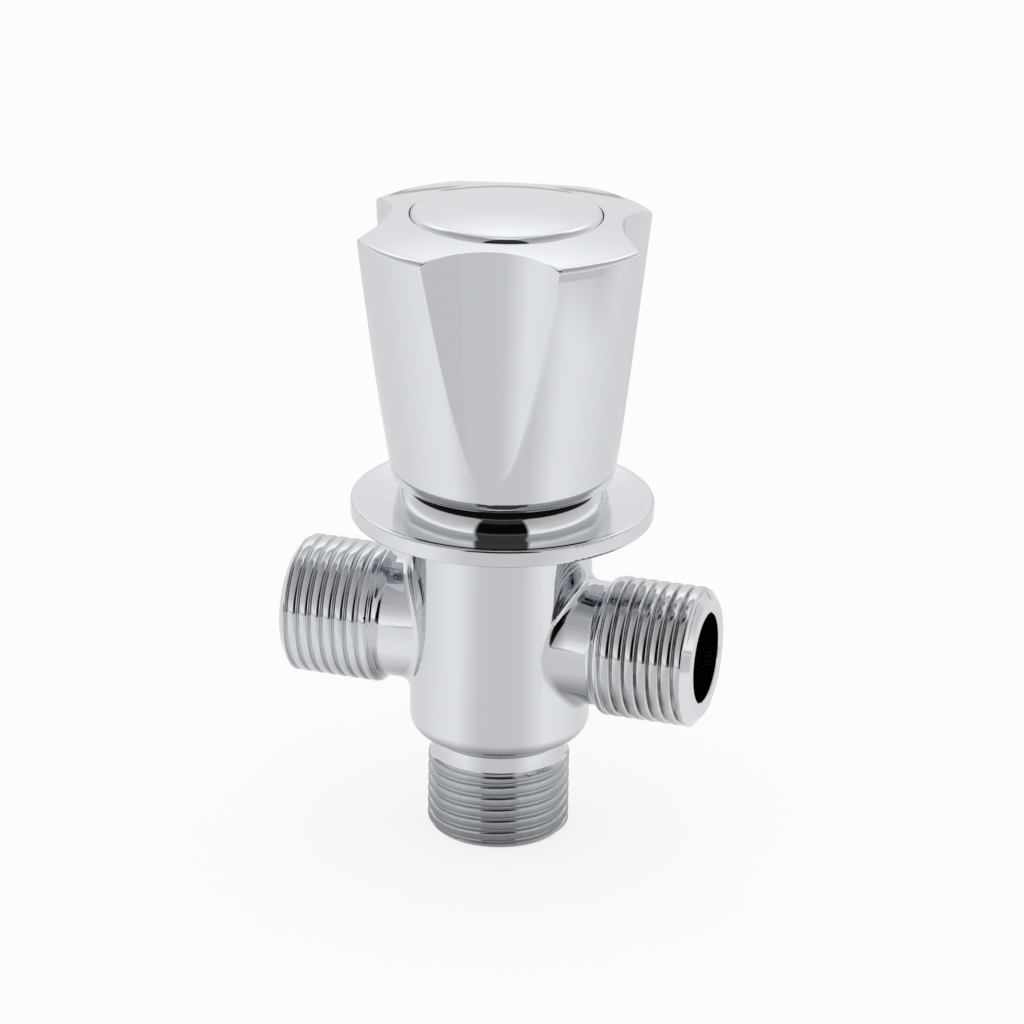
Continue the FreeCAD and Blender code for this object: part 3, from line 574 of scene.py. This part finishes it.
def cut_ends(mesh, low, high):
    """Trims a mesh square to its own Z axis."""
    for level, away in ((low, -1), (high, 1)):
        bmesh.ops.bisect_plane(
            mesh,
            geom=mesh.verts[:] + mesh.edges[:] + mesh.faces[:],
            plane_co=(0, 0, level),
            plane_no=(0, 0, away),
            clear_outer=True,
        )


def end_loop(mesh, level, radius):
    """The open edges at a level of Z, near a radius."""
    return [
        edge
        for edge in mesh.edges
        if edge.is_boundary
        and all(abs(v.co.z - level) < LEVEL_SLACK for v in edge.verts)
        and all(abs(v.co.xy.length - radius) < RADIUS_SLACK for v in edge.verts)
    ]


def threaded_spigot(size):
    """A spigot along +Z, from its neck to its bevelled end, with a right-handed thread."""
    mesh = bmesh.new()
    first = (size["start"] // PITCH - 2) * PITCH + size["phase"]
    turns = int((size["end"] - size["start"]) / PITCH) + 4
    line = []
    for number in range(turns):
        for share, depth in GROOVE_SHAPE:
            radius = size["crest"] - size["depth"] * depth
            line.append(mesh.verts.new((radius, 0, first + (number + share) * PITCH)))
    edges = [mesh.edges.new(pair) for pair in zip(line, line[1:])]
    bmesh.ops.spin(
        mesh,
        geom=line + edges,
        axis=(0, 0, 1),
        angle=math.tau,
        dvec=(0, 0, PITCH / TURN_STEPS),
        steps=TURN_STEPS,
    )
    bmesh.ops.remove_doubles(mesh, verts=mesh.verts, dist=MERGE)
    cut_ends(mesh, size["start"], size["end"])
    bevel_start = size["end"] - size["bevel_length"]
    for level in (bevel_start, size["rise"], size["shoulder"]):
        whole = mesh.verts[:] + mesh.edges[:] + mesh.faces[:]
        bmesh.ops.bisect_plane(mesh, geom=whole, plane_co=(0, 0, level), plane_no=(0, 0, 1))
    for vertex in mesh.verts:
        along = vertex.co.z
        missing = size["crest"] - vertex.co.xy.length
        body = ease(size["rise"], size["shoulder"], along)
        blank = size["neck"] + (size["crest"] - size["neck"]) * body
        radius = blank - missing * ease(size["rise"], size["full"], along)
        past = max(along - bevel_start, 0.0) / size["bevel_length"]
        radius = min(radius, size["crest"] - size["bevel_drop"] * past)
        vertex.co.xy = vertex.co.xy.normalized() * radius
    return mesh


# %% [markdown]
# ## The body with its threads
#
# The body is one casting, so it stays one piece. A copy of the measured body is cut off square at
# its three necks. Each threaded spigot is made along its own Z axis, turned into place and joined
# to the cut edge. Its end face is drawn inwards from its rim, and then back along the bore.

# %% Copy helper
def copy_of(name):
    """A merged copy of a measured piece."""
    mesh = bmesh.new()
    mesh.from_mesh(nodes[name].data)
    bmesh.ops.remove_doubles(mesh, verts=mesh.verts, dist=0.001 * MM)
    return mesh


# %% [markdown]
# ## The three spigots
#
# Each spigot is a row of places along its own axis: where the cut is, where it rises from the neck,
# where the shoulder is full, where the thread has its full depth, and where the piece ends. The two
# outlets are alike but for the turn of their thread, so the left one is the right one, turned.

# %% Spigot sizes
THREAD_DEPTH = 0.62 * MM
PORT_BORE = 6.55 * MM
SPIGOTS = {
    "inlet": {
        "frame": Matrix(((1, 0, 0, 0), (0, -1, 0, 0), (0, 0, -1, 0), (0, 0, 0, 1))),
        "start": -12.95 * MM,
        "rise": -11.95 * MM,
        "shoulder": -11.25 * MM,
        "full": -10.7 * MM,
        "end": 0.0,
        "neck": 9.75 * MM,
        "crest": 10.35 * MM,
        "bore": PORT_BORE,
        "depth": THREAD_DEPTH,
        "bevel_length": 0.9 * MM,
        "bevel_drop": 0.9 * MM,
        "phase": 0.3 * MM,
    },
    "right": {
        "frame": Matrix(((0, 0, 1, 0), (0, -1, 0, 0), (1, 0, 0, OUTLET_AXIS), (0, 0, 0, 1))),
        "start": 15.6 * MM,
        "rise": 15.7 * MM,
        "shoulder": 17.6 * MM,
        "full": 19.6 * MM,
        "end": 31.15 * MM,
        "neck": 9.0 * MM,
        "crest": 10.15 * MM,
        "bore": PORT_BORE,
        "depth": THREAD_DEPTH,
        "bevel_length": 1.1 * MM,
        "bevel_drop": 1.5 * MM,
        "phase": 1.2 * MM,
    },
}
SPIGOTS["left"] = dict(
    SPIGOTS["right"],
    frame=Matrix(((0, 0, -1, 0), (0, 1, 0, 0), (1, 0, 0, OUTLET_AXIS), (0, 0, 0, 1))),
    phase=1.05 * MM,
)
MOUTH_EDGE = 0.15 * MM
print("spigots:", sorted(SPIGOTS))

# %% Join the spigots to the body
body = copy_of("valve_body")
for name, spigot in SPIGOTS.items():
    into = spigot["frame"]
    body.transform(into.inverted())
    bmesh.ops.bisect_plane(
        body,
        geom=body.verts[:] + body.edges[:] + body.faces[:],
        plane_co=(0, 0, spigot["start"]),
        plane_no=(0, 0, 1),
        clear_outer=True,
    )
    neck_edge = end_loop(body, spigot["start"], spigot["neck"])
    bore_edge = end_loop(body, spigot["start"], spigot["bore"])
    old = set(body.edges)
    thread = threaded_spigot(spigot)
    scratch = bpy.data.meshes.new("thread")
    thread.to_mesh(scratch)
    thread.free()
    body.from_mesh(scratch)
    bpy.data.meshes.remove(scratch)
    rings = [edge for edge in body.edges if edge.is_boundary and edge not in old]
    inner_ring = [e for e in rings if abs(e.verts[0].co.z - spigot["start"]) < LEVEL_SLACK]
    outer_ring = [e for e in rings if abs(e.verts[0].co.z - spigot["end"]) < LEVEL_SLACK]
    bmesh.ops.bridge_loops(body, edges=neck_edge + inner_ring)
    bore = spigot["bore"]
    mouth = outer_ring
    for radius, level in (
        (bore + MOUTH_EDGE, spigot["end"]),
        (bore, spigot["end"] - MOUTH_EDGE),
        (bore, spigot["start"] + 0.5 * MM),
    ):
        drawn = bmesh.ops.extrude_edge_only(body, edges=mouth)["geom"]
        for vertex in (v for v in drawn if isinstance(v, bmesh.types.BMVert)):
            vertex.co.xy = vertex.co.xy.normalized() * radius
            vertex.co.z = level
        mouth = [e for e in drawn if isinstance(e, bmesh.types.BMEdge) and e.is_boundary]
    bmesh.ops.bridge_loops(body, edges=bore_edge + mouth)
    body.transform(into)
    print(name, "rings", len(neck_edge), len(bore_edge), len(inner_ring), len(outer_ring), len(mouth))


# %% [markdown]
# ## Clean gloss
#
# A mirror shows every fault of its surface. Where the cut body has long thin faces, the averaged
# direction of a corner is a little wrong and the gloss breaks up. On the barrel and the outlets'
# necks the true direction is known, since both are plain cylinders, so it is given to the corners.

# %% Finish the body
def true_normals(data, surfaces):
    """Gives points that lie on a plain cylinder that cylinder's own direction, for clean gloss."""
    normals = [corner.vector.copy() for corner in data.corner_normals]
    smoothed = 0
    for face in data.polygons:
        for corner in face.loop_indices:
            point = data.vertices[data.loops[corner].vertex_index].co
            for lies_on, outward in surfaces:
                direction = outward(point)
                if lies_on(point, direction.length) and face.normal.angle(direction) < SOFT_LIMIT:
                    normals[corner] = direction.normalized()
                    smoothed += 1
                    break
    data.normals_split_custom_set(normals)
    print("corners given the normal of their cylinder:", smoothed)


def make_piece(name, mesh, rides, look, replaces, sharp=35):
    """Turns a bmesh into a finished object that rides with a measured piece."""
    bmesh.ops.recalc_face_normals(mesh, faces=mesh.faces)
    limit = math.radians(sharp)
    for face in mesh.faces:
        face.smooth = True
    for edge in mesh.edges:
        edge.smooth = len(edge.link_faces) != 2 or edge.calc_face_angle() < limit
    loose = sum(1 for edge in mesh.edges if len(edge.link_faces) != 2)
    data = bpy.data.meshes.new(name)
    mesh.to_mesh(data)
    mesh.free()
    piece = bpy.data.objects.new(name, data)
    bpy.context.scene.collection.objects.link(piece)
    data.materials.append(finishes[look])
    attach(piece, rides)
    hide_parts(*replaces)
    print(name, len(data.vertices), "vertices", len(data.polygons), "faces", loose, "open edges")
    return piece


SOFT_LIMIT = math.radians(30)
BARREL_RADIUS = 13.13 * MM
BARREL_FROM = 17.0 * MM
OUTLET_NECK = SPIGOTS["right"]["neck"]
NEAR = 0.004 * MM


def on_barrel(point, distance):
    return abs(distance - BARREL_RADIUS) < NEAR and point.z > BARREL_FROM


def on_neck(point, distance):
    return abs(distance - OUTLET_NECK) < NEAR and abs(point.x) < SPIGOTS["right"]["rise"]


threaded_body = make_piece("valve_body_threaded", body, "valve", "threaded", ["valve_body"])
true_normals(
    threaded_body.data,
    (
        (on_barrel, lambda point: Vector((point.x, point.y, 0))),
        (on_neck, lambda point: Vector((0, point.y, point.z - OUTLET_AXIS))),
    ),
)

# %% [markdown]
# ## The fluted handle
#
# The handle is one casting, turned first and fluted after. Its section is spun once, with one
# column of points for every few degrees. Then the points are pressed in to the flutes: in each
# quarter, one group of columns spans the flute and the other the lobe beside it. So the arrises
# run exactly along columns, and a bevel can soften them as polishing does.
#
# The flutes are what a leaning, tapering tool would leave: its middle stands further out and its
# radius is larger at the rim, so the flute is deep above and fades out just above the foot. A flat
# cut would give straight sides, and the real handle's are curved.

# %% Handle sizes, in millimetres
BASE = 54.44
TOP = 92.24
FOOT, FOOT_ROUND = 16.1, 1.2
RIM, RIM_ROUND = 22.0, 0.8
CROWN = 97.0
SEAT = 13.74
SEAT_LEVEL = 92.48
FLUTE_COLUMNS = 26
LOBE_COLUMNS = 22
QUARTER = FLUTE_COLUMNS + LOBE_COLUMNS
COLUMNS = 4 * QUARTER
INDEX = math.radians(12.2)
FLOOR_FOOT, FLOOR_TOP = 16.45, 16.4
TOOL_FOOT, TOOL_TOP = 10.0, 15.3
SIDE_RINGS = 30


def side_radius(z):
    return FOOT + (RIM - FOOT) * (z - BASE - FOOT_ROUND) / (TOP - RIM_ROUND - BASE - FOOT_ROUND)


def tool_at(z):
    """Distance of the flute tool's middle from the axis, and the tool's radius."""
    share = (z - BASE) / (TOP - BASE)
    tool = TOOL_FOOT + (TOOL_TOP - TOOL_FOOT) * share
    return FLOOR_FOOT + (FLOOR_TOP - FLOOR_FOOT) * share + tool, tool


def half_width(z):
    """Half the angle that a flute takes at a height."""
    z = min(max(z, BASE + FOOT_ROUND), TOP - RIM_ROUND)
    radius = side_radius(z)
    middle, tool = tool_at(z)
    cosine = (radius**2 + middle**2 - tool**2) / (2 * radius * middle)
    return max(math.acos(min(cosine, 1.0)), math.radians(1.5))


def floor_radius(z, angle):
    middle, tool = tool_at(z)
    inside = tool**2 - (middle * math.sin(angle)) ** 2
    return middle * math.cos(angle) - math.sqrt(max(inside, 0.0))


def top_height(radius):
    """Height of the rounded rim and the crown at a distance from the axis."""
    edge = RIM - RIM_ROUND
    if radius > edge:
        return TOP - RIM_ROUND + math.sqrt(max(RIM_ROUND**2 - (radius - edge) ** 2, 0.0))
    return TOP + math.sqrt(CROWN**2 - radius**2) - math.sqrt(CROWN**2 - edge**2)


def top_edge(part):
    """Radius where the column at this part (-1 to 1) of a flute meets the rim or the crown."""
    angle = part * half_width(TOP)
    radius = RIM
    for _ in range(6):
        radius = min(RIM, floor_radius(top_height(radius), angle))
    return radius


# %% [markdown]
# ## The handle's section
#
# One line goes round the whole wall: foot, side, rim, crown, down into the cap's seat, through the
# boss with its splined bush, and back along the hollow inside to the foot. Spun once, it closes.

# %% Handle section
CROWN_WALL = 3.2
CEILING = SEAT_LEVEL - CROWN_WALL
SHELL_TOP = [RIM - RIM_ROUND + RIM_ROUND * math.cos(math.radians(a)) for a in (0, 18, 36, 54, 72, 90)]
SHELL_TOP += [20.4, 19.4, 18.2, 17.0, 15.8, 14.6, SEAT + 0.15, SEAT]
FOOT_ARC = [math.radians(angle) for angle in (0, 22, 45, 68)]
INSIDE = [
    (SEAT, SEAT_LEVEL),
    (6.0, SEAT_LEVEL),
    (6.0, 73.89),
    (2.2, 73.89),
    (2.2, 69.89),
    (5.65, 69.89),
    (5.65, 57.89),
    (7.85, 57.89),
    (7.85, 69.89),
    (7.9, 69.9),
    (7.9, CEILING),
    (13.7, CEILING),
    (13.7, BASE),
]


def handle_point(ring, column):
    """Where the point of a ring and a column lies."""
    quarter, place = divmod(column, QUARTER)
    in_flute = place <= FLUTE_COLUMNS
    part = 2 * place / FLUTE_COLUMNS - 1 if in_flute else 0.0
    share = 0.0 if in_flute else (place - FLUTE_COLUMNS) / LOBE_COLUMNS
    edge = top_edge(part) if in_flute else RIM
    if ring < len(FOOT_ARC):
        bend = FOOT_ARC[ring]
        radius = FOOT - FOOT_ROUND + FOOT_ROUND * math.sin(bend)
        z = BASE + FOOT_ROUND - FOOT_ROUND * math.cos(bend)
    elif ring < len(FOOT_ARC) + SIDE_RINGS:
        up = (ring - len(FOOT_ARC)) / SIDE_RINGS
        z = BASE + FOOT_ROUND + (top_height(edge) - BASE - FOOT_ROUND) * up
        radius = side_radius(z)
    elif ring < len(FOOT_ARC) + SIDE_RINGS + len(SHELL_TOP):
        planned = SHELL_TOP[ring - len(FOOT_ARC) - SIDE_RINGS]
        radius = SEAT + (edge - SEAT) * (planned - SEAT) / (RIM - SEAT)
        z = top_height(radius)
    else:
        radius, z = INSIDE[ring - len(FOOT_ARC) - SIDE_RINGS - len(SHELL_TOP)]
    wide = half_width(z)
    angle = part * wide if in_flute else wide + (math.pi / 2 - 2 * wide) * share
    if in_flute and len(FOOT_ARC) <= ring < len(FOOT_ARC) + SIDE_RINGS:
        radius = min(radius, floor_radius(z, angle)) if abs(part) < 1 else side_radius(z)
    turn_by = INDEX + quarter * math.pi / 2 + angle
    return Vector((radius * math.cos(turn_by), radius * math.sin(turn_by), z)) * MM


# %% Spin the handle
RINGS = len(FOOT_ARC) + SIDE_RINGS + len(SHELL_TOP) + len(INSIDE)
TOP_RING = len(FOOT_ARC) + SIDE_RINGS
handle = bmesh.new()
ring_tag = handle.verts.layers.int.new("ring")
section = [handle.verts.new((10 * MM, 0, ring * MM)) for ring in range(RINGS)]
for ring, vertex in enumerate(section):
    vertex[ring_tag] = ring
outline = [handle.edges.new(pair) for pair in zip(section, section[1:] + section[:1])]
bmesh.ops.spin(
    handle,
    geom=section + outline,
    axis=(0, 0, 1),
    angle=math.tau,
    steps=COLUMNS,
    use_merge=True,
)
print("points spun:", len(handle.verts))

# %% Press in the flutes
column_of = {}
for vertex in handle.verts:
    angle = math.atan2(vertex.co.y, vertex.co.x)
    column_of[vertex] = round(angle / math.tau * COLUMNS) % COLUMNS
for vertex, column in column_of.items():
    vertex.co = handle_point(vertex[ring_tag], column)

# %% Soften the arrises
ARRIS_BEVEL = 0.22 * MM
arrises = []
for edge in handle.edges:
    places = [column_of[v] % QUARTER for v in edge.verts]
    rings = [v[ring_tag] for v in edge.verts]
    upright = places[0] == places[1] and places[0] in (0, FLUTE_COLUMNS)
    if upright and len(FOOT_ARC) + 3 <= min(rings) and max(rings) <= TOP_RING:
        arrises.append(edge)
    across = rings[0] == rings[1] == TOP_RING and max(places) <= FLUTE_COLUMNS
    if across and abs(places[0] - places[1]) == 1:
        arrises.append(edge)
bmesh.ops.bevel(
    handle,
    geom=arrises,
    offset=ARRIS_BEVEL,
    segments=3,
    profile=0.5,
    affect="EDGES",
    clamp_overlap=True,
    material=-1,
)
print("handle rings", RINGS, "columns", COLUMNS, "arris edges", len(arrises))
make_piece("handle_fluted", handle, "handle_set", "hollow", ["handle"])

# %% [markdown]
# ## Close the frame
#
# The picture is shown through the plain Standard view transform.

# %% Close the frame
bpy.context.scene.view_settings.view_transform = "Standard"
